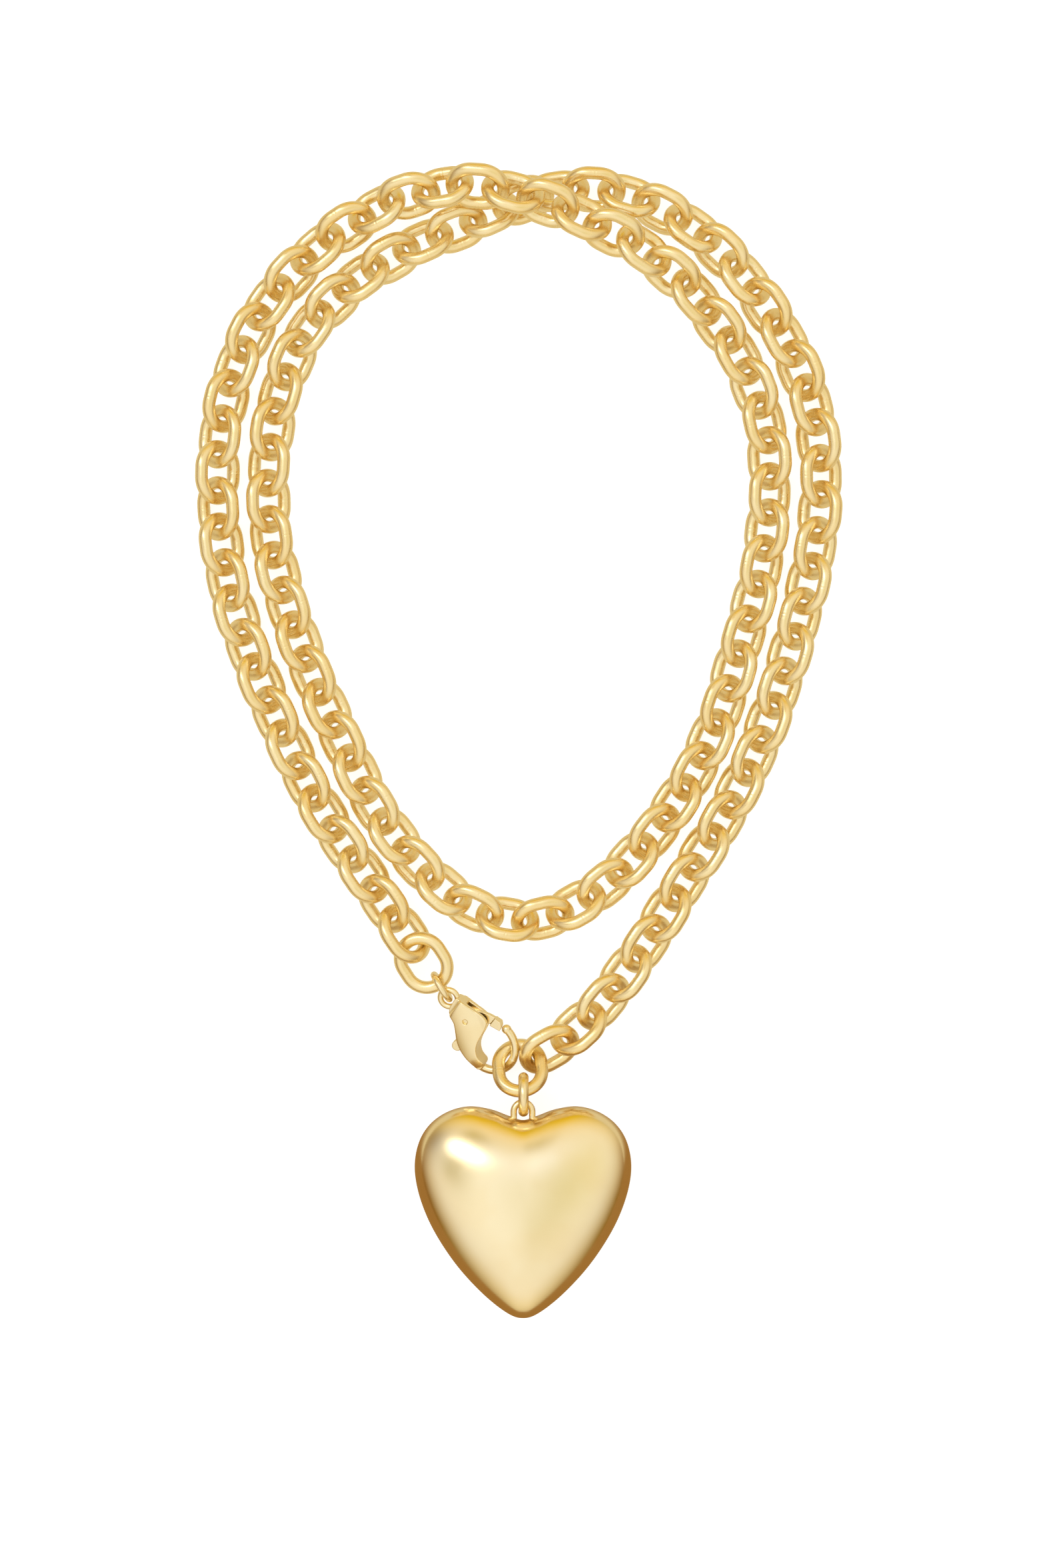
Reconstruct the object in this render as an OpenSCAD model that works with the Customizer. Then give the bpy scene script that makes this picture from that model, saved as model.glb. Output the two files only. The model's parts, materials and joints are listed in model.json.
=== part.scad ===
// Statement necklace: one long chain of thick oval links wrapped twice, closed by a
// lobster clasp on its last link, with a puffed hollow heart hanging from a bail ring.
// It lies flat: +Z is up from the surface it rests on, +Y points to the back of the neck
// and the heart hangs towards -Y. The origin is under the middle of the whole piece.

/* [Chain] */
// Thickness of the round wire that every chain link is bent from
wire_d = 2.7; // [2.6:0.05:2.8]
// Outer length of a link
link_length = 13.4; // [13.3:0.05:13.5]
// Outer width of a link
link_width = 11.5; // [11.3:0.1:11.7]
// Roll of each link about the line of the chain, one way and then the other
link_roll = 45; // [43:1:47]
// Number of rolled links between the end link and the last link
link_count = 112; // [112:1:112]
// Links that share one node
links_per_node = 3; // [2:1:4]

/* [Clasp] */
// Slope of the whole clasp about its own length, gate side up
clasp_roll = 26; // [25:1:27]
// Thickness of the clasp's palm
palm_thick = 3.4; // [3:0.1:3.6]
// Width of the slot that the lever works in
slot_width = 1.6; // [1.4:0.1:1.8]
// Thickness of the lever's blade
lever_thick = 1.0; // [0.8:0.1:1.1]
// Diameter of the pivot pin
pin_d = 1.0; // [0.8:0.1:1.2]
// Running clearance of the lever on its pin, on the diameter
pin_play = 0.1; // [0.06:0.02:0.16]

/* [Pendant] */
// Half of the heart's thickness
heart_puff = 8.5; // [8.2:0.1:8.6]
// Thickness of the heart's hollow shells
shell_wall = 0.9; // [0.6:0.1:1.2]
// Thickness of the bail ring's wire
bail_wire = 2.1; // [1.9:0.1:2.1]
// Thickness of the heart's eyelet wire
eyelet_wire = 1.3; // [1.1:0.1:1.3]

/* [Hidden] */
gold = [0.94, 0.84, 0.62];
gold_bright = [0.97, 0.89, 0.70];
gold_deep = [0.80, 0.62, 0.30];
steel = [0.70, 0.70, 0.68];

// Link geometry: two half-round ends joined by two short straights.
link_bend_r = (link_width - wire_d) / 2;
link_straight = link_length - link_width;
strand_z = link_bend_r * sin(link_roll) + wire_d / 2;

// Middle line of the chain, from the clasp's side to the free end: x, y and how far the
// strand is lifted off the surface. It rises where one turn of the chain crosses the other.
route = [
    [-21.5, -43, 0], [-32, -27.5, 0], [-41, -14, 0], [-48, 0, 0], [-54, 14, 0],
    [-59, 28.5, 0], [-61.5, 42.5, 0], [-62, 57, 0], [-60, 71, 0], [-54.5, 85, 0],
    [-46, 96.5, 0], [-35, 105.5, 1.5], [-22, 111.5, 5.5], [-9, 113, 9], [4, 110, 9.5],
    [16, 105, 8.5], [28, 98.5, 4.5], [38.5, 88.5, 1], [46.5, 76.5, 0], [51, 63, 0],
    [51.5, 49, 0], [49.5, 33.5, 0], [45.5, 19, 0], [41, 4, 0], [34.5, -9.5, 0],
    [26, -21.5, 0], [16, -31.5, 0], [3, -37.5, 0], [-10.5, -34.5, 0], [-21.5, -25, 0],
    [-30, -13.5, 0], [-36.5, 0, 0], [-42.5, 13, 0], [-47.5, 27, 0], [-51, 41, 0],
    [-51.5, 56, 0], [-49.5, 70, 0], [-44, 83.5, 0], [-34.5, 93.5, 0], [-22.5, 101, 0],
    [-9, 106.5, 0], [4, 112, 0], [17, 113, 0], [29.5, 109, 0], [42, 100, 0],
    [52, 87, 0], [59, 73, 0], [62, 58, 0], [61.5, 43, 0], [58.5, 28, 0],
    [54.5, 13.5, 0], [49.5, -1, 0], [42.5, -15.5, 0], [34.5, -28.5, 0], [26.5, -41.5, 0],
    [17, -54.5, 0], [9.2, -62, 0], [3, -65.5, 0]
];
route_last = len(route) - 1;
route_steps = 12;

// Smooth curve through four neighbouring points, f runs from b to c.
function smooth(a, b, c, d, f) =
    (2 * b + (c - a) * f + (2 * a - 5 * b + 4 * c - d) * f * f
    + (3 * b - a - 3 * c + d) * f * f * f) / 2;

function route_at(u) =
    let (
        i = min(floor(u), route_last - 1),
        p = smooth(route[max(i - 1, 0)], route[i], route[i + 1],
            route[min(i + 2, route_last)], u - i)
    )
    [p.x, p.y, strand_z + max(p.z, 0)];

route_fine = [for (k = [0 : route_last * route_steps]) route_at(k / route_steps)];
route_along = [
    for (k = 0, sum = 0; k < len(route_fine);
        sum = sum + (k + 1 < len(route_fine) ? norm(route_fine[k + 1] - route_fine[k]) : 0),
        k = k + 1)
    sum
];
pitch = route_along[len(route_along) - 1] / link_count;

// Places where one link meets the next, evenly spaced along the chain.
joint_points = [
    for (k = [0 : link_count])
    [for (axis = [0 : 2]) lookup(k * pitch, [
        for (j = [0 : len(route_fine) - 1]) [route_along[j], route_fine[j][axis]]
    ])]
];

node_count = ceil(link_count / links_per_node);
chain_names = [for (k = [1 : node_count]) str("chain_links_", k < 10 ? "0" : "", k)];

// The end link lies almost flat and carries the clasp's jump ring.
end_link_yaw = -57.5;
end_link_drop = 5;
end_link_roll = 13;
end_link_slack = 0.2;

// The last link is held up at its lower end by the pendant's bail ring.
last_link_at = [0.2, -67.5, 5.6];
last_link_yaw = -84.5;
last_link_rise = 31;

// Jump ring between the end link and the clasp's eye, nearly upright.
jump_ring_at = [-15.9, -50.9, 4];
jump_ring_turn = [94.5, 0, -57.5];
jump_ring_r = 3;
jump_ring_wire = 1.3;

// Clasp: x runs from the eye to the hook's nose, y to the gate's side.
clasp_at = [-14.4, -53.2, 4.9];
clasp_yaw = -38;
clasp_rise = 1;
eye_r = 1.85;
eye_wire = 1.4;
hook_centre = [13.4, -3];
hook_r = 4.8;
hook_wire = 1.8;
hook_root = -104;
hook_turn = 10;
hook_overlap = 3;
hook_top_r = 5.8;
hook_top_wire = 1.7;
hook_nose = 82;
nose_d = 2;
pivot_at = [5.6, -1];
lever_z = -0.25;
hub_r = 1.5;
palm_points = [
    [1.4, 1.8], [4.6, 2.1], [7.8, 2.2], [9.3, 1.5], [9.9, -0.6], [10.2, -2.8], [10.9, -4.6],
    [12.2, -5.8], [13.8, -6.2], [14.2, -7.2], [13.6, -8.1], [10.6, -7.8], [8.4, -7.1],
    [6.6, -5.9], [5.2, -4.3], [3.8, -2.9], [1.9, -2], [1.1, 0]
];
slot_points = [
    [3.5, 4], [3.5, -1.8], [2, -4.4], [0.9, -10], [9.6, -10], [8.6, -6], [8, -3.6], [9, -3],
    [11, -3], [11, 4]
];
blade_points = [
    [4.3, 0.6], [6.4, 1.9], [8.8, 2.9], [11.2, 3.1], [11.7, 2.3], [11.4, 1.5], [9.2, 1],
    [7.2, -1], [7.4, -3.6], [8, -7], [6.7, -7.5], [5.6, -4.4], [4.3, -1.8], [4, -0.4]
];
gate_points = [[10, 3.2], [11.3, 3.3], [11.9, 2.6], [12.1, 1.6], [10, 1.2]];
gate_thick = 1.8;
knob_at = [7.3, -7.3];
knob_d = 2.2;
knob_gap = 0.1;
spring_wire = 0.35;
spring_r = 0.95;
spring_z = 0.5;
spring_leg = 1.1;

// Bail ring: upright, through the last link and the heart's eyelet.
bail_at = [0.9, -72.8, 8.3];
bail_r = 3.5;

// Heart: measured from the middle of its puff. Half outline from the notch to the tip.
heart_at = [0.8, -93, heart_puff];
heart_outline = [
    [0, 15], [3, 15.9], [6.6, 17.2], [11, 17.8], [15.2, 16.8], [18.8, 14.4], [21.2, 10.8],
    [22.2, 6], [21.6, 0.8], [19.6, -5], [16.6, -10.5], [12.6, -16], [7.6, -21.2],
    [3, -24.7], [0, -25.6]
];
outline_last = len(heart_outline) - 1;
outline_steps = 4;
outline_blur = 9;
outline_fade = 3;
puff_flatness = 2.5;
puff_roundness = 0.55;
shell_rings = 14;
eyelet_y = -76.3;
eyelet_r = 1.9;
eyelet_leg = 2.6;

module ring(r, wire, angle = 360) {
    rotate_extrude(angle = angle, $fn = 64)
        translate([r, 0, 0])
            circle(d = wire, $fn = 24);
}

module oval_link() {
    for (end = [0, 180])
        rotate([0, 0, end])
            translate([link_straight / 2, 0, 0])
                rotate([0, 0, -90])
                    ring(link_bend_r, wire_d, 180);
    for (side = [-1, 1])
        translate([-link_straight / 2, side * link_bend_r, 0])
            rotate([0, 90, 0])
                cylinder(d = wire_d, h = link_straight, $fn = 24);
}

// A link between two joint points of the chain, rolled one way or the other.
module rolled_link(k) {
    from = joint_points[k];
    along = joint_points[k + 1] - from;
    yaw = atan2(along.y, along.x);
    rise = asin(along.z / norm(along));
    translate(from + along / 2)
        rotate([k % 2 == 0 ? link_roll : -link_roll, -rise, yaw])
            oval_link();
}

module chain_links(n) {
    first = n * links_per_node;
    color(gold)
        for (k = [first : min(first + links_per_node, link_count) - 1])
            rolled_link(k);
}

module end_link() {
    color(gold)
        translate(joint_points[0])
            rotate([end_link_roll, end_link_drop, end_link_yaw])
                translate([pitch / 2 - end_link_slack, 0, 0])
                    oval_link();
}

module last_link() {
    color(gold)
        translate(last_link_at)
            rotate([0, -last_link_rise, last_link_yaw])
                oval_link();
}

module jump_ring() {
    color(gold_bright)
        translate(jump_ring_at)
            rotate(jump_ring_turn)
                ring(jump_ring_r, jump_ring_wire);
}

module at_clasp() {
    translate(clasp_at)
        rotate([clasp_roll, -clasp_rise, clasp_yaw])
            children();
}

// Closed smooth outline through a ring of points.
function rounded(points, steps) =
    let (n = len(points))
    [
        for (i = [0 : n - 1], s = [0 : steps - 1])
        smooth(points[(i + n - 1) % n], points[i], points[(i + 1) % n], points[(i + 2) % n],
            s / steps)
    ];

module plate(points, thick, z = 0) {
    translate([0, 0, z - thick / 2])
        linear_extrude(height = thick)
            polygon(points);
}

// Middle of the hook's wider upper bend, which goes on straight from its lower one.
hook_top = hook_centre + (hook_r - hook_top_r) * [cos(hook_turn), sin(hook_turn)];

// Part of the hook's round claw, between two angles about the middle of a bend.
module claw(middle, r, wire, start, finish) {
    translate(middle)
        rotate([0, 0, start])
            ring(r, wire, finish - start);
}

module clasp_body() {
    color(gold_bright)
        at_clasp() {
            difference() {
                plate(rounded(palm_points, 3), palm_thick);
                plate(slot_points, slot_width);
                translate([0, 0, -eye_wire])
                    cylinder(r = eye_r, h = 2 * eye_wire, $fn = 48);
                translate([pivot_at.x, pivot_at.y, -palm_thick])
                    cylinder(d = pin_d, h = 2 * palm_thick, $fn = 32);
            }
            ring(eye_r, eye_wire);
            claw(hook_centre, hook_r, hook_wire, hook_root, hook_turn + hook_overlap);
            claw(hook_top, hook_top_r, hook_top_wire, hook_turn - hook_overlap, hook_nose);
            translate(hook_top)
                rotate([0, 0, hook_nose])
                    translate([hook_top_r, 0, 0])
                        sphere(d = nose_d, $fn = 24);
        }
}

module clasp_lever() {
    color(gold)
        at_clasp()
            difference() {
                union() {
                    plate(rounded(blade_points, 3), lever_thick, lever_z);
                    translate([pivot_at.x, pivot_at.y, lever_z - lever_thick / 2])
                        cylinder(r = hub_r, h = lever_thick, $fn = 48);
                    plate(gate_points, gate_thick);
                    translate([knob_at.x, knob_at.y, knob_gap - slot_width / 2])
                        cylinder(d = knob_d, h = slot_width - 2 * knob_gap, $fn = 32);
                }
                translate([pivot_at.x, pivot_at.y, -palm_thick])
                    cylinder(d = pin_d + pin_play, h = 2 * palm_thick, $fn = 32);
            }
}

module clasp_pin() {
    color(gold_deep)
        at_clasp()
            translate([pivot_at.x, pivot_at.y, -palm_thick / 2])
                cylinder(d = pin_d, h = palm_thick, $fn = 32);
}

// Torsion spring round the pin: its turn lies beside the lever, its leg against the palm.
module clasp_spring() {
    color(steel)
        at_clasp()
            translate(pivot_at) {
                translate([0, 0, spring_z])
                    ring(spring_r, spring_wire);
                translate([-spring_r, 0, spring_z])
                    rotate([0, -90, 0])
                        cylinder(d = spring_wire, h = spring_leg, $fn = 16);
            }
}

module bail_ring() {
    color(gold_bright)
        translate(bail_at)
            rotate([90, 0, 90])
                ring(bail_r, bail_wire);
}

module heart_eyelet() {
    color(gold_bright)
        translate([heart_at.x, eyelet_y, heart_at.z]) {
            ring(eyelet_r, eyelet_wire, 180);
            for (side = [-1, 1])
                translate([side * eyelet_r, 0, 0])
                    rotate([90, 0, 0])
                        cylinder(d = eyelet_wire, h = eyelet_leg, $fn = 24);
        }
}

// Whole outline, anticlockwise: the right half from the tip up, then the mirrored half down.
function half_point(i) =
    i < 0 ? [-heart_outline[-i].x, heart_outline[-i].y]
    : i > outline_last ? [-heart_outline[2 * outline_last - i].x, heart_outline[2 * outline_last - i].y]
    : heart_outline[i];

right_half = [
    for (i = [outline_last - 1 : -1 : 0], s = [0 : outline_steps - 1])
    smooth(half_point(i + 2), half_point(i + 1), half_point(i), half_point(i - 1),
        s / outline_steps)
];
left_half = [
    for (i = [0 : outline_last - 1], s = [0 : outline_steps - 1])
    let (p = smooth(half_point(i - 1), half_point(i), half_point(i + 1), half_point(i + 2),
        s / outline_steps))
    [-p.x, p.y]
];
whole_outline = concat(right_half, left_half);
outline_count = len(whole_outline);

// The same outline with its notch and tip rounded off, which the middle of the puff follows.
soft_outline = [
    for (j = [0 : outline_count - 1])
    let (near = [for (k = [-outline_blur : outline_blur])
        whole_outline[(j + k + outline_count) % outline_count]])
    [for (p = near) 1] * near / len(near)
];

// Height of the puff at a share t of the way from its middle to the rim.
function puff(t, top) = top * pow(1 - pow(t, puff_flatness), puff_roundness);

function skin(inset, top) = [
    for (i = [1 : shell_rings], j = [0 : outline_count - 1])
    let (
        t = sin(90 * i / shell_rings),
        share = pow(t, outline_fade),
        p = whole_outline[j] * share + soft_outline[j] * (1 - share),
        q = p * (norm(p) - inset) / norm(p)
    )
    [q.x * t, q.y * t, i == shell_rings ? 0 : puff(t, top)]
];

module heart_half() {
    outer = skin(0, heart_puff);
    inner = skin(shell_wall, heart_puff - shell_wall);
    n = outline_count;
    m = len(outer);
    top_outer = 2 * m;
    top_inner = 2 * m + 1;
    rim = (shell_rings - 1) * n;
    sides = [
        for (i = [0 : shell_rings - 2], j = [0 : n - 1])
        let (a = i * n + j, b = i * n + (j + 1) % n)
        [a, b, a + n, b + n]
    ];
    faces = concat(
        [for (j = [0 : n - 1]) [top_outer, (j + 1) % n, j]],
        [for (s = sides) each [[s[0], s[1], s[2]], [s[1], s[3], s[2]]]],
        [for (j = [0 : n - 1]) [top_inner, m + j, m + (j + 1) % n]],
        [for (s = sides) each [[m + s[0], m + s[2], m + s[1]], [m + s[1], m + s[2], m + s[3]]]],
        [
            for (j = [0 : n - 1])
            let (a = rim + j, b = rim + (j + 1) % n)
            each [[a, b, m + a], [b, m + b, m + a]]
        ]
    );
    polyhedron(
        points = concat(outer, inner, [[0, 0, heart_puff], [0, 0, heart_puff - shell_wall]]),
        faces = faces,
        convexity = 4
    );
}

module heart_front_shell() {
    color(gold)
        translate(heart_at)
            heart_half();
}

module heart_back_shell() {
    color(gold)
        translate(heart_at)
            mirror([0, 0, 1])
                heart_half();
}

for (n = [0 : node_count - 1])
    chain_links(n);
end_link();
last_link();
jump_ring();
clasp_body();
clasp_lever();
clasp_pin();
clasp_spring();
bail_ring();
heart_eyelet();
heart_front_shell();
heart_back_shell();
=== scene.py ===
import math

import bmesh
import bpy
from mathutils import Matrix, Vector
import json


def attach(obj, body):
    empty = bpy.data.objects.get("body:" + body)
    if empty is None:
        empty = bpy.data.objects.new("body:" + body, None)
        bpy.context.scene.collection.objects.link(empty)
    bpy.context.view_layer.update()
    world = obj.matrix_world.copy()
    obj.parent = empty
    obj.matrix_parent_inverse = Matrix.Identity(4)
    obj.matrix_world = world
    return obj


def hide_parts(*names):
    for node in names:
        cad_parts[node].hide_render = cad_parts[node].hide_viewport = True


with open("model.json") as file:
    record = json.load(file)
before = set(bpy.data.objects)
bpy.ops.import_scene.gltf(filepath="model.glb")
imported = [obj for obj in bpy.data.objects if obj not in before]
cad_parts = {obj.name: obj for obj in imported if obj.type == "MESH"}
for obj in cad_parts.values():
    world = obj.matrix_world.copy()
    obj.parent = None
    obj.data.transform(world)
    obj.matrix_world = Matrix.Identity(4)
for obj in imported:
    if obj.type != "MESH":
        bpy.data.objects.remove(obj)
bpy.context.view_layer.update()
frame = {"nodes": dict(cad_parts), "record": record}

MM = 0.001

# ---------------------------------------------------------------- camera
# Straight down on the flat necklace through a long lens.
VIEW_CENTRE = (0.0007, -0.0092)
VIEW_HEIGHT = 0.3222
LENS = 135.0
SENSOR = 36.0
STRAND_Z = 0.0045

cam_data = bpy.data.cameras.new("camera")
cam_data.sensor_fit = "VERTICAL"
cam_data.sensor_height = SENSOR
cam_data.lens = LENS
cam_data.clip_start = 0.01
cam_data.clip_end = 20.0
camera = bpy.data.objects.new("camera", cam_data)
camera.location = (*VIEW_CENTRE, STRAND_Z + VIEW_HEIGHT * LENS / SENSOR)
bpy.context.scene.collection.objects.link(camera)
bpy.context.scene.camera = camera


# ---------------------------------------------------------------- materials
# Noise scales, in cycles per metre, and how much higher the drifts stand than the marks.
DRIFT_SCALE = 90.0
GRAIN_SCALE = 450.0
MARKS_SCALE = 700.0
MARKS_STRETCH = (1.0, 9.0, 3.0)
MARKS_HEIGHT = 0.05
DRIFT_SHARE = 0.35
# How far the painted shade deepens the gold in hollows.
HOLLOW_SHADE_SHARE = 0.5


def new_material(name):
    """A node material: its tree, its Principled shader and its output."""
    material = bpy.data.materials.new(name)
    material.use_nodes = True
    tree = material.node_tree
    shader = tree.nodes["Principled BSDF"]
    return material, tree, shader


def noise(tree, vector, scale, detail=3.0, rough=0.55, stretch=None):
    """Noise in the piece's own coordinates, in cycles per metre, stretched if asked."""
    if stretch:
        mapping = tree.nodes.new("ShaderNodeMapping")
        mapping.inputs["Scale"].default_value = stretch
        tree.links.new(vector, mapping.inputs["Vector"])
        vector = mapping.outputs["Vector"]
    node = tree.nodes.new("ShaderNodeTexNoise")
    node.inputs["Scale"].default_value = scale
    node.inputs["Detail"].default_value = detail
    node.inputs["Roughness"].default_value = rough
    tree.links.new(vector, node.inputs["Vector"])
    return node.outputs["Fac"]


def ramp(tree, value, low, high, from_value=0.0, to_value=1.0):
    """Maps value from low..high to from_value..to_value, clamped and smooth."""
    node = tree.nodes.new("ShaderNodeMapRange")
    node.interpolation_type = "SMOOTHSTEP"
    node.inputs["From Min"].default_value = low
    node.inputs["From Max"].default_value = high
    node.inputs["To Min"].default_value = from_value
    node.inputs["To Max"].default_value = to_value
    tree.links.new(value, node.inputs["Value"])
    return node.outputs["Result"]


def math_node(tree, operation, a, b=None):
    node = tree.nodes.new("ShaderNodeMath")
    node.operation = operation
    for socket, value in zip(node.inputs, (a, b)):
        if value is None:
            continue
        if isinstance(value, (int, float)):
            socket.default_value = value
        else:
            tree.links.new(value, socket)
    return node.outputs["Value"]


def mix_colour(tree, factor, a, b):
    node = tree.nodes.new("ShaderNodeMix")
    node.data_type = "RGBA"
    tree.links.new(factor, node.inputs["Factor"])
    for socket, colour in ((node.inputs[6], a), (node.inputs[7], b)):
        if isinstance(colour, tuple):
            socket.default_value = (*colour, 1.0)
        else:
            tree.links.new(colour, socket)
    return node.outputs[2]


def gold(name, pale, deep, roughness, ripple=0.02, scratch=0.25):
    """Polished plating: slow drifts between two golds, deeper in hollows as painted shade, with
    fine marks.
    """
    material, tree, shader = new_material(name)
    where = tree.nodes.new("ShaderNodeTexCoord").outputs["Object"]
    drift = noise(tree, where, DRIFT_SCALE, 2.0)
    grain = noise(tree, where, GRAIN_SCALE, 2.0)
    marks = noise(tree, where, MARKS_SCALE, 4.0, 0.7, MARKS_STRETCH)
    geometry = tree.nodes.new("ShaderNodeNewGeometry")
    # Painted shade: the gold turns deeper where the surface is hollow, where shade and bounced
    # light fall.
    hollow = ramp(tree, geometry.outputs["Pointiness"], 0.44, 0.50, 1.0, 0.0)
    tone = ramp(tree, drift, 0.35, 0.68)
    tone = math_node(tree, "MULTIPLY", tone, DRIFT_SHARE)
    painted_hollow_shade = math_node(tree, "MULTIPLY", hollow, HOLLOW_SHADE_SHARE)
    tone = math_node(tree, "MAXIMUM", tone, painted_hollow_shade)
    tree.links.new(mix_colour(tree, tone, pale, deep), shader.inputs["Base Color"])
    shader.inputs["Metallic"].default_value = 1.0
    haze = ramp(tree, grain, 0.35, 0.75, roughness * 0.92, roughness * 1.12)
    lines = ramp(tree, marks, 0.60, 0.72, 0.0, scratch * roughness)
    tree.links.new(math_node(tree, "ADD", haze, lines), shader.inputs["Roughness"])
    height = math_node(tree, "ADD", drift, math_node(tree, "MULTIPLY", marks, MARKS_HEIGHT))
    bump = tree.nodes.new("ShaderNodeBump")
    bump.inputs["Strength"].default_value = ripple
    bump.inputs["Distance"].default_value = MM
    tree.links.new(height, bump.inputs["Height"])
    tree.links.new(bump.outputs["Normal"], shader.inputs["Normal"])
    return material


chain_gold = gold("chain_gold", (0.96, 0.80, 0.47), (0.92, 0.66, 0.24), 0.27, scratch=0.12)
clasp_gold = gold("clasp_gold", (0.96, 0.82, 0.52), (0.92, 0.70, 0.33), 0.23, scratch=0.12)
heart_gold = gold("heart_gold", (0.96, 0.83, 0.55), (0.93, 0.75, 0.43), 0.17, ripple=0.01)
spring_steel = gold("spring_steel", (0.62, 0.60, 0.56), (0.48, 0.45, 0.40), 0.28)

SLOTS = {
    "clasp_body": "clasp_gold", "clasp_lever": "clasp_gold", "clasp_pin": "clasp_gold",
    "jump_ring": "clasp_gold", "bail_ring": "clasp_gold", "heart_eyelet": "clasp_gold",
    "heart_front_shell": "heart_gold", "heart_back_shell": "heart_gold",
    "clasp_spring": "spring_steel",
}
MATERIALS = {
    "chain_gold": chain_gold, "clasp_gold": clasp_gold, "heart_gold": heart_gold,
    "spring_steel": spring_steel,
}


def finish_piece(name, data, body, slot, nodes):
    """Puts a smooth mesh in the scene in place of CAD nodes, riding on their body."""
    for polygon in data.polygons:
        polygon.use_smooth = True
    data.materials.clear()
    data.materials.append(MATERIALS[slot])
    piece = bpy.data.objects.new(name, data)
    bpy.context.scene.collection.objects.link(piece)
    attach(piece, body)
    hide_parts(*nodes)
    return piece


# The CAD nodes that stay visible get their material here; the others are replaced below.
for name, node in frame["nodes"].items():
    node.data.materials.clear()
    node.data.materials.append(MATERIALS[SLOTS.get(name, "chain_gold")])
    for polygon in node.data.polygons:
        polygon.use_smooth = True


def smooth_point(a, b, c, d, f):
    """Catmull-Rom curve through four points, f from b to c."""
    return (
        2 * b + (c - a) * f + (2 * a - 5 * b + 4 * c - d) * f * f
        + (3 * b - a - 3 * c + d) * f ** 3
    ) / 2


# ---------------------------------------------------------------- chain
WIRE_R = 1.35
BEND_R = 4.4
STRAIGHT = 1.9
LINK_ROLL = 45.0
LINK_COUNT = 112
LINKS_PER_NODE = 3
STRAND_LIFT = BEND_R * math.sin(math.radians(LINK_ROLL)) + WIRE_R
ROUTE = [
    (-21.5, -43, 0), (-32, -27.5, 0), (-41, -14, 0), (-48, 0, 0), (-54, 14, 0),
    (-59, 28.5, 0), (-61.5, 42.5, 0), (-62, 57, 0), (-60, 71, 0), (-54.5, 85, 0),
    (-46, 96.5, 0), (-35, 105.5, 1.5), (-22, 111.5, 5.5), (-9, 113, 9), (4, 110, 9.5),
    (16, 105, 8.5), (28, 98.5, 4.5), (38.5, 88.5, 1), (46.5, 76.5, 0), (51, 63, 0),
    (51.5, 49, 0), (49.5, 33.5, 0), (45.5, 19, 0), (41, 4, 0), (34.5, -9.5, 0),
    (26, -21.5, 0), (16, -31.5, 0), (3, -37.5, 0), (-10.5, -34.5, 0), (-21.5, -25, 0),
    (-30, -13.5, 0), (-36.5, 0, 0), (-42.5, 13, 0), (-47.5, 27, 0), (-51, 41, 0),
    (-51.5, 56, 0), (-49.5, 70, 0), (-44, 83.5, 0), (-34.5, 93.5, 0), (-22.5, 101, 0),
    (-9, 106.5, 0), (4, 112, 0), (17, 113, 0), (29.5, 109, 0), (42, 100, 0),
    (52, 87, 0), (59, 73, 0), (62, 58, 0), (61.5, 43, 0), (58.5, 28, 0),
    (54.5, 13.5, 0), (49.5, -1, 0), (42.5, -15.5, 0), (34.5, -28.5, 0), (26.5, -41.5, 0),
    (17, -54.5, 0), (9.2, -62, 0), (3, -65.5, 0),
]
ROUTE_STEPS = 12


def route_at(u):
    points = [Vector(p) for p in ROUTE]
    last = len(points) - 1
    i = min(int(u), last - 1)
    p = smooth_point(points[max(i - 1, 0)], points[i], points[i + 1],
                     points[min(i + 2, last)], u - i)
    return Vector((p.x, p.y, STRAND_LIFT + max(p.z, 0)))


def joint_points():
    """Where one link meets the next, evenly spaced along the chain."""
    fine = [route_at(k / ROUTE_STEPS) for k in range((len(ROUTE) - 1) * ROUTE_STEPS + 1)]
    along = [0.0]
    for a, b in zip(fine, fine[1:]):
        along.append(along[-1] + (b - a).length)
    pitch = along[-1] / LINK_COUNT
    points, j = [], 0
    for k in range(LINK_COUNT + 1):
        want = min(k * pitch, along[-1])
        while j < len(along) - 2 and along[j + 1] < want:
            j += 1
        points.append(fine[j].lerp(fine[j + 1], (want - along[j]) / (along[j + 1] - along[j])))
    return points, pitch


def turned(x, y, z):
    """Turns by x, then y, then z degrees about the fixed axes."""
    return (Matrix.Rotation(math.radians(z), 4, "Z") @ Matrix.Rotation(math.radians(y), 4, "Y")
            @ Matrix.Rotation(math.radians(x), 4, "X"))


def chance(k, n):
    """A number from 0 to 1 for link k that looks random and is the same every run."""
    return math.sin(k * 12.9898 + n * 78.233) * 43758.5453 % 1.0


# The mesh of a link: steps along each bend and each straight, and around the wire.
BEND_STEPS = 30
STRAIGHT_STEPS = 12
WIRE_STEPS = 24
# The visible wire is this much slimmer than the CAD wire, so that the seam's bead stays inside.
WIRE_SLIM = 0.03
# The solder seam: a low bead with a fine groove in it, as heights and half widths.
BEAD_HEIGHT, BEAD_WIDTH = 0.03, 0.45
GROOVE_DEPTH, GROOVE_WIDTH = 0.045, 0.14
SEAM_WANDER = 4


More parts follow.
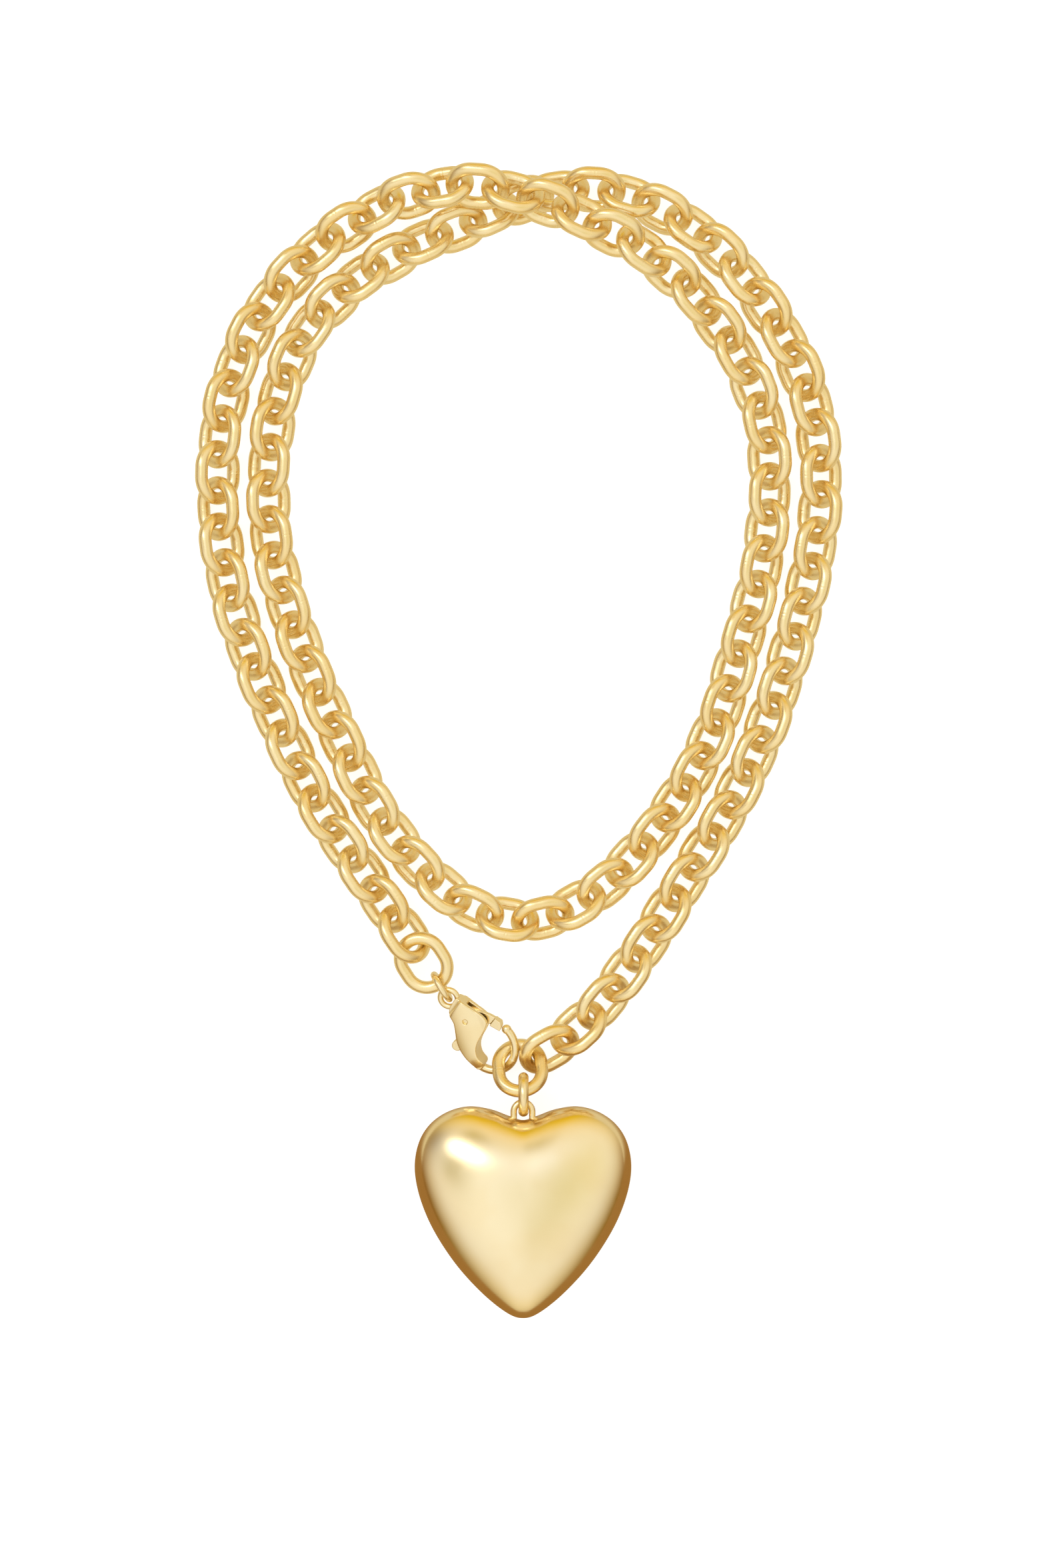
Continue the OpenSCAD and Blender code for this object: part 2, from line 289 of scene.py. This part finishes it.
def add_link(mesh, uv, place, k):
    """One oval link of round wire, with its solder seam on one straight side."""
    path = []
    for end in (0, 1):
        for i in range(BEND_STEPS):
            a = math.radians(-90 + 180 * i / BEND_STEPS + 180 * end)
            path.append((Vector((STRAIGHT / 2 * (1 - 2 * end) + BEND_R * math.cos(a),
                                 BEND_R * math.sin(a), 0)),
                         Vector((math.cos(a), math.sin(a), 0))))
        side = 1 - 2 * end
        for i in range(STRAIGHT_STEPS):
            x = side * (STRAIGHT / 2 - STRAIGHT * i / STRAIGHT_STEPS)
            path.append((Vector((x, side * BEND_R, 0)), Vector((0, side, 0))))
    seam_at = BEND_STEPS + STRAIGHT_STEPS // 2
    if chance(k, 1) > 0.5:
        seam_at += BEND_STEPS + STRAIGHT_STEPS
    seam_at += round(SEAM_WANDER * (chance(k, 2) - 0.5))
    count = len(path)
    rows = []
    for i, (centre, outward) in enumerate(path):
        away = min(abs(i - seam_at), count - abs(i - seam_at)) * STRAIGHT / STRAIGHT_STEPS
        bead = BEAD_HEIGHT * math.exp(-(away / BEAD_WIDTH) ** 2)
        bead -= GROOVE_DEPTH * math.exp(-(away / GROOVE_WIDTH) ** 2)
        rows.append([])
        for j in range(WIRE_STEPS):
            a = 2 * math.pi * j / WIRE_STEPS
            out = outward * math.cos(a) + Vector((0, 0, math.sin(a)))
            at = centre + out * (WIRE_R - WIRE_SLIM + bead)
            rows[-1].append(mesh.verts.new(place @ (at * MM)))
    for i in range(count):
        for j in range(WIRE_STEPS):
            i2, j2 = (i + 1) % count, (j + 1) % WIRE_STEPS
            face = mesh.faces.new((rows[i][j], rows[i2][j], rows[i2][j2], rows[i][j2]))
            for loop, (u, v) in zip(face.loops, ((i, j), (i + 1, j), (i + 1, j + 1), (i, j + 1))):
                loop[uv].uv = (u / count, v / WIRE_STEPS)


def link_piece(name, places, body, nodes):
    mesh = bmesh.new()
    uv = mesh.loops.layers.uv.new("wire")
    for k, place in places:
        add_link(mesh, uv, place, k)
    bmesh.ops.recalc_face_normals(mesh, faces=mesh.faces)
    data = bpy.data.meshes.new(name)
    mesh.to_mesh(data)
    mesh.free()
    return finish_piece(name, data, body, "chain_gold", nodes)


def at_mm(x, y, z):
    return Matrix.Translation(Vector((x, y, z)) * MM)


body_of_node = {n: body for body, group in frame["record"]["behaviour"]["bodies"].items()
                for n in group}
joints, pitch = joint_points()
places = []
for k in range(LINK_COUNT):
    start, step = joints[k], joints[k + 1] - joints[k]
    yaw = math.degrees(math.atan2(step.y, step.x))
    rise = math.degrees(math.asin(step.z / step.length))
    roll = LINK_ROLL if k % 2 == 0 else -LINK_ROLL
    places.append((k, at_mm(*(start + step / 2)) @ turned(roll, -rise, yaw)))
for n in range(math.ceil(LINK_COUNT / LINKS_PER_NODE)):
    node = f"chain_links_{n + 1:02d}"
    link_piece(f"links_{n + 1:02d}", places[n * LINKS_PER_NODE:(n + 1) * LINKS_PER_NODE],
               body_of_node[node], [node])
# The end link lies back from the first joint; the number beside each place picks its seam.
END_TURN = (13, 5, -57.5)
END_SLACK = 0.2
LAST_AT = (0.2, -67.5, 5.6)
LAST_TURN = (0, -31, -84.5)
END_NUMBER, LAST_NUMBER = 200, 201
end_place = at_mm(*joints[0]) @ turned(*END_TURN) @ at_mm(pitch / 2 - END_SLACK, 0, 0)
link_piece("end_oval", [(END_NUMBER, end_place)], "long_loop_6", ["end_link"])
last_place = at_mm(*LAST_AT) @ turned(*LAST_TURN)
link_piece("last_oval", [(LAST_NUMBER, last_place)], "long_loop_6", ["last_link"])

# ---------------------------------------------------------------- clasp
# In the clasp's own frame, in mm: x runs from the eye to the hook's nose.
CLASP = at_mm(-14.4, -53.2, 4.9) @ turned(26, -1, -38)
# The eye's wire is slimmed towards its middle, so that the jump ring clears it at its limits.
EYE_R = 1.85
EYE_SLIM = 0.86
EYE_END, EYE_BLEND = 1.6, 1.2
# The palm's cheeks are domed around a line from its foot, less on the underside.
PALM_FOOT, PALM_LINE = (2.5, 0.2), (8.5, -5.6)
DOME_REACH = 3.4
CHEEK_Z, CHEEK_X = 1.2, 2.2
UNDERSIDE = 0.65
# The claw and the eye are smoothed less than the palm.
CLAW_START, CLAW_BLEND = 11.5, 2
LEAST_SMOOTH = 0.15
# The gate's tip is drawn out towards the hook's nose.
GATE_TIP, GATE_STRETCH = 10.5, 0.14


def evaluated(holder):
    bpy.context.view_layer.update()
    shown = holder.evaluated_get(bpy.context.evaluated_depsgraph_get())
    return bpy.data.meshes.new_from_object(shown)


def cast_piece(name, node, voxel, passes, pillow):
    """A CAD node's shape with its edges rounded and, where pillow isn't 0, its cheeks domed."""
    data = frame["nodes"][node].data.copy()
    data.transform(Matrix.Scale(1 / MM, 4) @ CLASP.inverted())
    holder = bpy.data.objects.new(name + "_work", data)
    bpy.context.scene.collection.objects.link(holder)
    remesh = holder.modifiers.new("even", "REMESH")
    remesh.mode = "VOXEL"
    remesh.voxel_size = voxel
    holder.data = evaluated(holder)
    holder.modifiers.clear()
    softness = holder.vertex_groups.new(name="softness")
    foot, line = Vector(PALM_FOOT), Vector(PALM_LINE)
    for v in holder.data.vertices:
        flat = Vector((v.co.x, v.co.y))
        share = min(max((flat - foot).dot(line) / line.length_squared, 0), 1)
        away = (flat - foot - share * line).length
        broad = 1 if v.co.x < CLAW_START else max(0.0, 1 - (v.co.x - CLAW_START) / CLAW_BLEND)
        past_eye = min(max((v.co.x - EYE_END) / EYE_BLEND, 0), 1)
        wire_middle = (flat.normalized() * EYE_R).to_3d()
        v.co = wire_middle.lerp(v.co, EYE_SLIM + (1 - EYE_SLIM) * past_eye)
        amount = (LEAST_SMOOTH + (1 - LEAST_SMOOTH) * broad) * past_eye
        softness.add([v.index], amount, "REPLACE")
        if node == "clasp_lever" and v.co.x > GATE_TIP:
            v.co.x += GATE_STRETCH * (v.co.x - GATE_TIP)
        if pillow and abs(v.co.z) > CHEEK_Z and v.co.x > CHEEK_X:
            dome = pillow * max(0.0, 1 - (away / DOME_REACH) ** 2)
            v.co.z += dome if v.co.z > 0 else -UNDERSIDE * dome
    soften = holder.modifiers.new("soft", "SMOOTH")
    soften.factor = 0.5
    soften.iterations = passes
    soften.vertex_group = "softness"
    result = evaluated(holder)
    result.transform(CLASP @ Matrix.Scale(MM, 4))
    bpy.data.objects.remove(holder)
    result.name = name
    return finish_piece(name, result, body_of_node[node], "clasp_gold", [node])


cast_piece("clasp_cast", "clasp_body", 0.10, 26, 0.55)
cast_piece("lever_cast", "clasp_lever", 0.08, 6, 0)

# ---------------------------------------------------------------- heart
HEART_AT = Vector((0.8, -93.0, 8.5)) * MM
HEART_PUFF = 8.5
PUFF_FLATNESS = 2.5
PUFF_ROUNDNESS = 0.55
HALF_OUTLINE = [
    (0, 15), (3, 15.9), (6.6, 17.2), (11, 17.8), (15.2, 16.8), (18.8, 14.4), (21.2, 10.8),
    (22.2, 6), (21.6, 0.8), (19.6, -5), (16.6, -10.5), (12.6, -16), (7.6, -21.2), (3, -24.7),
    (0, -25.6),
]
OUTLINE_STEPS = 12
HEART_RINGS = 56
# Towards the middle the rings follow an outline averaged over this many points each way.
BLUR_POINTS = 27
BLUR_FADE = 3
# The groove of the seam: how deep, as a share of the heart's width, and how high in mm.
SEAM_DEPTH, SEAM_HEIGHT = 0.004, 0.12


def heart_outline():
    last = len(HALF_OUTLINE) - 1

    def at(i):
        mirrored = i < 0 or i > last
        x, y = HALF_OUTLINE[-i if i < 0 else 2 * last - i if i > last else i]
        return Vector((-x if mirrored else x, y))

    right, left = [], []
    for i in range(last, 0, -1):
        for s in range(OUTLINE_STEPS):
            right.append(smooth_point(at(i + 1), at(i), at(i - 1), at(i - 2), s / OUTLINE_STEPS))
    for i in range(last):
        for s in range(OUTLINE_STEPS):
            p = smooth_point(at(i - 1), at(i), at(i + 1), at(i + 2), s / OUTLINE_STEPS)
            left.append(Vector((-p.x, p.y)))
    return right + left


def heart_shell(name, side):
    """One half of the puffed heart, with the fine groove of the seam at its rim."""
    sharp = heart_outline()
    n = len(sharp)
    soft = []
    for j in range(n):
        near = [sharp[(j + k) % n] for k in range(-BLUR_POINTS, BLUR_POINTS + 1)]
        soft.append(sum(near, Vector((0, 0))) / len(near))
    mesh = bmesh.new()
    top = mesh.verts.new(Vector((0, 0, side * HEART_PUFF)) * MM + HEART_AT)
    rows = []
    for k in range(1, HEART_RINGS + 1):
        t = math.sin(math.pi / 2 * k / HEART_RINGS)
        lift = 0.0
        if k < HEART_RINGS:
            lift = HEART_PUFF * (1 - t ** PUFF_FLATNESS) ** PUFF_ROUNDNESS
        inset = 1 - SEAM_DEPTH * math.exp(-(lift / SEAM_HEIGHT) ** 2)
        row = []
        for a, b in zip(sharp, soft):
            p = (a * t ** BLUR_FADE + b * (1 - t ** BLUR_FADE)) * t * inset
            row.append(mesh.verts.new(Vector((p.x, p.y, side * lift)) * MM + HEART_AT))
        rows.append(row)
    for j in range(n):
        j2 = (j + 1) % n
        mesh.faces.new((top, rows[0][j], rows[0][j2]))
        for k in range(HEART_RINGS - 1):
            mesh.faces.new((rows[k][j], rows[k + 1][j], rows[k + 1][j2], rows[k][j2]))
    bmesh.ops.recalc_face_normals(mesh, faces=mesh.faces)
    data = bpy.data.meshes.new(name)
    mesh.to_mesh(data)
    mesh.free()
    return finish_piece(name, data, "heart", "heart_gold", [name + "_shell"])


heart_shell("heart_front", 1)
heart_shell("heart_back", -1)

# ---------------------------------------------------------------- floor
# The camera sees a pale board that glows a little. Every other ray, so what the gold mirrors,
# sees a painted reflection: a glow that is golden under the chain and brown below the heart.
FLOOR_GAP = 0.0002
BROWN_UNTIL, GOLDEN_FROM = 0.010, 0.040
floor_material, tree, shader = new_material("floor_pale")
where = tree.nodes.new("ShaderNodeTexCoord").outputs["Object"]
paper = noise(tree, where, 60.0, 4.0)
tree.links.new(
    mix_colour(tree, paper, (0.46, 0.46, 0.455), (0.44, 0.44, 0.435)),
    shader.inputs["Base Color"],
)
shader.inputs["Roughness"].default_value = 0.7
shader.inputs["Emission Color"].default_value = (1, 1, 1, 1)
shader.inputs["Emission Strength"].default_value = 0.82
# Painted reflection: this glow is seen only in the gold, and its brown below the heart darkens
# the heart's rim.
glow = tree.nodes.new("ShaderNodeEmission")
along = tree.nodes.new("ShaderNodeSeparateXYZ")
tree.links.new(where, along.inputs["Vector"])
clear = ramp(tree, along.outputs["Y"], HEART_AT.y + BROWN_UNTIL, HEART_AT.y + GOLDEN_FROM)
tree.links.new(
    mix_colour(tree, clear, (0.36, 0.19, 0.055), (0.76, 0.66, 0.44)), glow.inputs["Color"]
)
path = tree.nodes.new("ShaderNodeLightPath")
either = tree.nodes.new("ShaderNodeMixShader")
tree.links.new(path.outputs["Is Camera Ray"], either.inputs["Fac"])
tree.links.new(glow.outputs["Emission"], either.inputs[1])
tree.links.new(shader.outputs["BSDF"], either.inputs[2])
tree.links.new(either.outputs["Shader"], tree.nodes["Material Output"].inputs["Surface"])

mesh = bmesh.new()
bmesh.ops.create_grid(mesh, x_segments=8, y_segments=8, size=1.5)
data = bpy.data.meshes.new("floor")
mesh.to_mesh(data)
mesh.free()
floor = bpy.data.objects.new("floor", data)
floor.location = (0, 0, -FLOOR_GAP)
data.materials.append(floor_material)
bpy.context.scene.collection.objects.link(floor)

# ---------------------------------------------------------------- light
# What the gold mirrors of the sky: pale overhead, golden at the horizon, a window up and to
# the left, and patches that add or take away light. The camera itself sees plain white.
world = bpy.data.worlds.new("studio")
bpy.context.scene.world = world
world.use_nodes = True
tree = world.node_tree
back = tree.nodes["Background"]
direction = tree.nodes.new("ShaderNodeTexCoord").outputs["Generated"]
split = tree.nodes.new("ShaderNodeSeparateXYZ")
tree.links.new(direction, split.inputs["Vector"])


def towards(azimuth, elevation):
    """A direction: azimuth anticlockwise from +X seen from above, both in degrees."""
    a, e = math.radians(azimuth), math.radians(elevation)
    return (math.cos(a) * math.cos(e), math.sin(a) * math.cos(e), math.sin(e))


def patch(azimuth, elevation, tightness, colour):
    """A soft light around one direction; a colour below zero takes light away."""
    dot = tree.nodes.new("ShaderNodeVectorMath")
    dot.operation = "DOT_PRODUCT"
    tree.links.new(direction, dot.inputs[0])
    dot.inputs[1].default_value = towards(azimuth, elevation)
    away = math_node(tree, "SUBTRACT", dot.outputs["Value"], 1.0)
    fall = math_node(tree, "EXPONENT", math_node(tree, "MULTIPLY", away, tightness))
    scale = tree.nodes.new("ShaderNodeVectorMath")
    scale.operation = "SCALE"
    scale.inputs[0].default_value = colour
    tree.links.new(fall, scale.inputs["Scale"])
    return scale.outputs["Vector"]


sky = tree.nodes.new("ShaderNodeValToRGB")
stops = [
    (0.0, (0.70, 0.58, 0.36)), (0.10, (0.80, 0.68, 0.44)), (0.30, (0.92, 0.82, 0.60)),
    (0.55, (0.98, 0.93, 0.83)), (1.0, (0.96, 0.93, 0.86)),
]
while len(sky.color_ramp.elements) < len(stops):
    sky.color_ramp.elements.new(0.5)
for element, (at, colour) in zip(sky.color_ramp.elements, stops):
    element.position = at
    element.color = (*colour, 1)
tree.links.new(split.outputs["Z"], sky.inputs["Fac"])
light = sky.outputs["Color"]
for part in (
    patch(143, 47, 120, (2.4, 2.4, 2.4)),
    patch(140, 56, 140, (3.0, 3.0, 3.0)),
    patch(136, 65, 150, (2.2, 2.2, 2.2)),
    patch(174, 52, 40, (-0.36, -0.40, -0.52)),
    patch(110, 46, 50, (-0.30, -0.33, -0.42)),
    patch(150, 18, 16, (-0.45, -0.42, -0.30)),
    patch(90, 10, 6, (-0.02, -0.18, -0.48)),
    patch(-30, 2, 9, (-0.42, -0.42, -0.34)),
    patch(-150, 2, 9, (-0.42, -0.42, -0.34)),
    patch(5, 0, 12, (-0.26, -0.28, -0.20)),
    patch(-180, 0, 12, (-0.26, -0.28, -0.20)),
    patch(-22, 74, 26, (-0.12, -0.14, -0.24)),
    patch(8, 55, 10, (-0.03, -0.04, -0.16)),
    patch(90, 72, 26, (0.08, 0.12, 0.26)),
    patch(-165, 64, 10, (0.10, 0.13, 0.18)),
):
    add = tree.nodes.new("ShaderNodeVectorMath")
    add.operation = "ADD"
    tree.links.new(light, add.inputs[0])
    tree.links.new(part, add.inputs[1])
    light = add.outputs["Vector"]
darkest = tree.nodes.new("ShaderNodeVectorMath")
darkest.operation = "MAXIMUM"
darkest.inputs[1].default_value = (0.03, 0.02, 0.01)
tree.links.new(light, darkest.inputs[0])
tree.links.new(darkest.outputs["Vector"], back.inputs["Color"])
back.inputs["Strength"].default_value = 1.0

plain = tree.nodes.new("ShaderNodeBackground")
plain.inputs["Color"].default_value = (1.0, 1.0, 1.0, 1.0)
plain.inputs["Strength"].default_value = 1.0
path = tree.nodes.new("ShaderNodeLightPath")
either = tree.nodes.new("ShaderNodeMixShader")
tree.links.new(path.outputs["Is Camera Ray"], either.inputs["Fac"])
tree.links.new(back.outputs["Background"], either.inputs[1])
tree.links.new(plain.outputs["Background"], either.inputs[2])
tree.links.new(either.outputs["Shader"], tree.nodes["World Output"].inputs["Surface"])

bpy.context.scene.view_settings.view_transform = "Standard"
